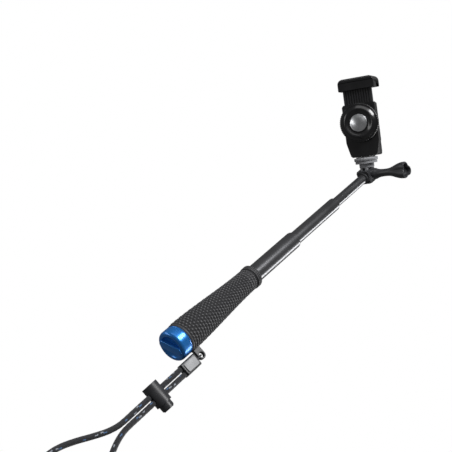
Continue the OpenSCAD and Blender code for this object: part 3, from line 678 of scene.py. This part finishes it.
def make_thumb_knob(material):
    """A waisted knob whose end flares into three rounded lobes round a hollow."""
    low, high = span("thumb_knob", Vector((1, 0, 0)))
    length = high - low
    r_max = max(math.hypot(v.co.y, v.co.z - KNUCKLE.z) for v in NODES["thumb_knob"].data.vertices) / MM
    count, wall, round_off, valley, hollow, bore = 120, 1.7, 1.2, 6.9, 5, 2.6

    def outline(s, base, flare, inset=0.0):
        """One ring, s along the knob."""
        ring = []
        for k in range(count):
            a = 2 * math.pi * k / count
            lobe = (0.5 + 0.5 * math.cos(3 * a)) ** 0.7
            r = base + flare * lobe * (r_max - base) - inset
            ring.append((r * math.cos(a), r * math.sin(a), low + s))
        return ring

    # Along the knob: (distance from its foot, radius between the lobes, how far the lobes have flared).
    stations = [
        (0, 5.9, 0), (0.35, 6.4, 0), (2.2, 6.4, 0), (2.9, 6.0, 0), (5, 5.2, 0), (8, 4.6, 0), (12, 4.3, 0),
        (17, 4.3, 0), (21, 4.5, 0.06), (25, 4.9, 0.22), (29, 5.5, 0.46), (33, 6.1, 0.74), (37, 6.6, 0.95),
        (length - round_off, valley, 1),
    ]
    rings = [outline(*station) for station in stations]
    for k in range(1, 5):
        a = math.radians(90 * k / 4)
        rings.append(outline(length - round_off * (1 - math.sin(a)), valley, 1, 0.5 * (1 - math.cos(a))))
    for depth, inset in ((0.1, wall - 0.3), (0.5, wall), (hollow - 0.6, wall + 0.4)):
        rings.append(outline(length - depth, valley, 1, inset))
    rings += [circle_ring(r, high - hollow, count) for r in (bore + 0.6, bore)]
    place = axes(Vector((0, -1, 0)), -POLE_UP, Vector((1, 0, 0)), Vector((0, 0, KNUCKLE.z)))
    fit(from_rings("thumb_knob_body", rings, place, angle=34), "thumb_knob", material)


def make_lock_ring(material):
    """The knurled ring under the clamp."""
    low, high = span("lock_ring", CLAMP_UP, KNUCKLE)
    r, bore = 13.5, 3.3
    profile = [(bore, low), (r - 0.8, low), (r, low + 0.6), (r, high - 0.6), (r - 0.8, high), (bore, high)]
    ring = ribbed_ring("lock_ring_knurl", profile, 48, 0.55, CLAMP, r - 0.1)
    fit(ring, "lock_ring", material)


# ---------------------------------------------------------------- clamp knob and button


def make_knob(material):
    """The dished knob: a turned dish in a finely ribbed rim."""
    low, high = span("knob_dish", CLAMP_BACK, KNOB)
    rim, inner, crest, bore, shoulder, floor = 22.5, 10.1, 15.8, 4.1, 2.9, 3.4
    slope = rim - 2.5
    dish = [(bore, low), (rim - 3.4, low), (rim - 2.2, low + 1.2), (rim - 2.2, high - shoulder - 0.5)]
    dish += [(slope, high - shoulder)]
    for t in (0.2, 0.4, 0.6, 0.8, 0.93):
        dish.append((slope - (slope - crest) * t, high - shoulder * (1 - t) ** 1.35))
    dish += [(crest, high), (crest - 0.5, high - 0.12), (13.9, high - 1.0), (12.3, high - 1.85)]
    dish += [(11.0, high - 2.4), (10.5, high - 2.5), (inner, high - 2.9)]
    dish += [(inner, low + floor), (bore, low + floor)]
    fit(lathe("clamp_knob_dish", dish, KNOB_FRAME, closed=True), "knob_dish", material)
    top = high - shoulder - 0.4
    profile = [(rim - 2.2, low + 1.5), (rim - 0.9, low + 1.5), (rim, low + 2.3), (rim, top - 1.1)]
    profile += [(rim - 0.35, top - 0.35), (rim - 1.1, top), (rim - 2.2, top)]
    fit(ribbed_ring("clamp_knob_rim", profile, 60, 0.4, KNOB_FRAME, rim - 0.4), "knob_rim", material)


def make_button(material):
    """The domed silver button in the knob's middle."""
    low, high = span("release_button", CLAMP_BACK, KNOB)
    r, crown = 10, 1.9
    dome_r = (crown**2 + (r - 1) ** 2) / (2 * crown)
    half = math.degrees(math.asin((r - 1) / dome_r))
    dome = arc(0, high - dome_r, dome_r, 90 - half, 90, 10)
    profile = [(0, low + 2.2), (r - 1.2, low + 2.2), (r - 1.2, low), (r, low), (r, high - crown - 0.75)]
    profile += arc(r - 0.7, high - crown - 0.7, 0.7, 0, 60, 4) + dome
    fit(lathe("release_button_dome", profile, KNOB_FRAME, count=128), "release_button", material)


# ---------------------------------------------------------------- stage


def area_light(name, place, target, size, power):
    """A rectangular light facing its target; size is (width, height) in metres and power in watts."""
    data = bpy.data.lights.new(name, "AREA")
    data.shape = "RECTANGLE"
    data.size, data.size_y = size
    data.energy = power
    light = bpy.data.objects.new(name, data)
    bpy.context.scene.collection.objects.link(light)
    light.location = place
    light.rotation_mode = "QUATERNION"
    light.rotation_quaternion = (target - place).to_track_quat("-Z", "Y")


def make_stage(camera):
    """A pale floor well below the stick, the backdrop, and four lights placed by the camera's directions."""
    low, high = cad_box
    middle = (low + high) / 2
    half, depth = 6.0, low.z - 0.6
    corners = [(x * half, y * half, depth) for x, y in ((-1, -1), (1, -1), (1, 1), (-1, 1))]
    floor_mesh = bpy.data.meshes.new("floor")
    floor_mesh.from_pydata(corners, [], [(0, 1, 2, 3)])
    floor = add_object("floor", floor_mesh)
    paper, _, bsdf = shader("floor_paper", (0.85, 0.85, 0.85), 0.8)
    bsdf.inputs["Emission Color"].default_value = (1, 1, 1, 1)
    bsdf.inputs["Emission Strength"].default_value = 0.45
    floor.visible_glossy = False
    floor.visible_diffuse = False
    floor_mesh.materials.append(paper)
    bpy.context.scene.world = studio_world()
    bpy.context.scene.view_settings.view_transform = "Standard"
    right, up, back = camera.matrix_world.to_3x3().col
    area_light("window", middle + right * 0.62 + up * 0.78 + back * 0.5, middle, (0.42, 0.5), 12)
    area_light("overhead", middle + up * 1.2 + back * 0.5, middle, (1.4, 0.6), 3.5)
    area_light("strip", middle + right * 0.94 - up * 0.45 - back * 0.5, middle, (0.3, 1.2), 8)
    area_light("rim", middle - right * 0.9 + up * 0.2 + back * 0.1, middle, (0.2, 0.9), 1.6)


def studio_world():
    """A white backdrop that lights the stick only softly."""
    world = bpy.data.worlds.new("studio")
    world.use_nodes = True
    tree = world.node_tree
    fill = tree.nodes["Background"]
    fill.inputs["Color"].default_value = (1, 1, 1, 1)
    fill.inputs["Strength"].default_value = 0.13
    white = node(tree, "ShaderNodeBackground", Color=(1, 1, 1, 1), Strength=1.0)
    ray = node(tree, "ShaderNodeLightPath")
    mix = node(tree, "ShaderNodeMixShader")
    tree.links.new(ray.outputs["Is Camera Ray"], mix.inputs[0])
    tree.links.new(fill.outputs[0], mix.inputs[1])
    tree.links.new(white.outputs[0], mix.inputs[2])
    tree.links.new(mix.outputs[0], tree.nodes["World Output"].inputs["Surface"])
    return world


# ---------------------------------------------------------------- the whole stick

# CAD nodes that are shown as they are but for rounded edges, and how far each is rounded, in mm.
SOFTENED = {
    "outer_tube": 0.15, "mid_tube": 0.15, "inner_tube": 0.12, "outer_bush": 0.2, "mid_bush": 0.2,
    "lanyard_eyelet": 0.5, "pole_head": 0.45, "adapter_fork": 0.5, "thumb_washer": 0.15, "captive_nut": 0.3,
    "ring_face": 0.2, "clamp_back": 0.9, "clamp_front": 0.9, "phone_pad": 0.5, "lower_jaw": 0.7,
    "lower_jaw_pad": 0.35, "jaw_arm": 0.3, "upper_jaw": 0.9, "upper_jaw_pad": 0.35, "crimp_block": 0.8,
    "crimp_plate": 0.35, "lock_barrel": 0.7, "lock_plunger": 0.7, "thread_insert": 0.2,
}


def build():
    """The materials, the camera, every piece and the stage, in that order."""
    mats = make_materials()
    camera = make_camera()
    cord, path = make_cord(mats["cord_weave"])
    made = {
        node_name: fit(softened(node_name, width), node_name, mats[SLOT_OF[node_name]])
        for node_name, width in SOFTENED.items()
    }
    # The arm takes the lighter black, a painted highlight on its ribs.
    made["jaw_arm"].data.materials[0] = mats["arm_black_painted_highlight"]
    make_grip(mats["grip_rubber"])
    make_front_rim(mats["rim_rubber"])
    make_cap(mats["cap_blue"])
    make_thumb_knob(mats["black_plastic"])
    make_lock_ring(mats["adapter_grey"])
    make_knob(mats["clamp_black"])
    make_button(mats["button_silver"])
    loop = make_anchor_loop(mats["cord_weave"])
    for name, cad in NODES.items():
        cad.data.materials.clear()
        cad.data.materials.append(mats[SLOT_OF[name]])
    make_stage(camera)


build()

import json
